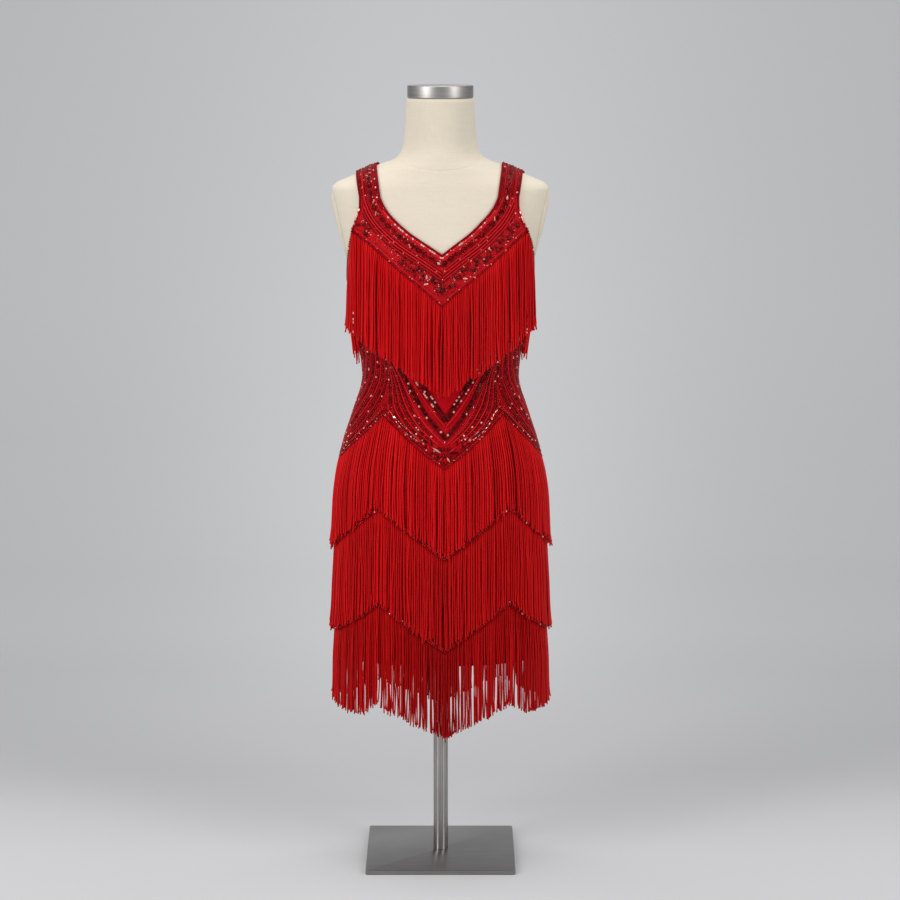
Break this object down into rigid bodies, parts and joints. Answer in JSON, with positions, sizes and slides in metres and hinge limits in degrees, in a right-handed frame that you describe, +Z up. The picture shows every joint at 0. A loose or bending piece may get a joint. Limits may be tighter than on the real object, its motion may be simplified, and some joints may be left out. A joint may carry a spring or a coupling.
{
  "type": "flapper dress on a dress form",
  "caption": "Sleeveless V-neck dress with bead-edged tiers of hanging cord fringe in pointed zigzags, worn by a limbless form on a pole with a square foot.",
  "frame": {"origin": "middle of the foot plate's underside", "axes": "+Z up along the pole, -Y the way the dress faces, +X to the left hand of the wearer"},
  "size_m": [0.3762, 0.2582, 1.331],
  "materials": {
    "dark_steel": "dark brushed",
    "steel": "brushed",
    "cream_linen": "woven linen cover",
    "crimson_net": "knitted net",
    "fringe_cord": "twisted rayon cords, satin",
    "garnet_beads": "glass beads sewn on braid"
  },
  "bodies": {
    "root": {"foot_plate": "dark_steel", "pole": "steel", "form_torso": "cream_linen", "arm_plate_l": "cream_linen", "arm_plate_r": "cream_linen", "neck_cap": "steel", "yoke_front": "crimson_net", "yoke_back": "crimson_net", "body_front": "crimson_net", "body_back": "crimson_net", "braid_1_front": "garnet_beads", "fringe_1_front": "fringe_cord", "braid_2_front": "garnet_beads", "fringe_2_front": "fringe_cord", "braid_3_front": "garnet_beads", "fringe_3_front": "fringe_cord", "braid_4_front": "garnet_beads", "fringe_4_front": "fringe_cord", "braid_1_back": "garnet_beads", "fringe_1_back": "fringe_cord", "braid_2_back": "garnet_beads", "fringe_2_back": "fringe_cord", "braid_3_back": "garnet_beads", "fringe_3_back": "fringe_cord", "braid_4_back": "garnet_beads", "fringe_4_back": "fringe_cord", "fringe_1_side_l": "fringe_cord", "fringe_1_side_r": "fringe_cord", "neck_binding": "garnet_beads", "armhole_binding_l": "garnet_beads", "armhole_binding_r": "garnet_beads"}
  },
  "joints": []
}
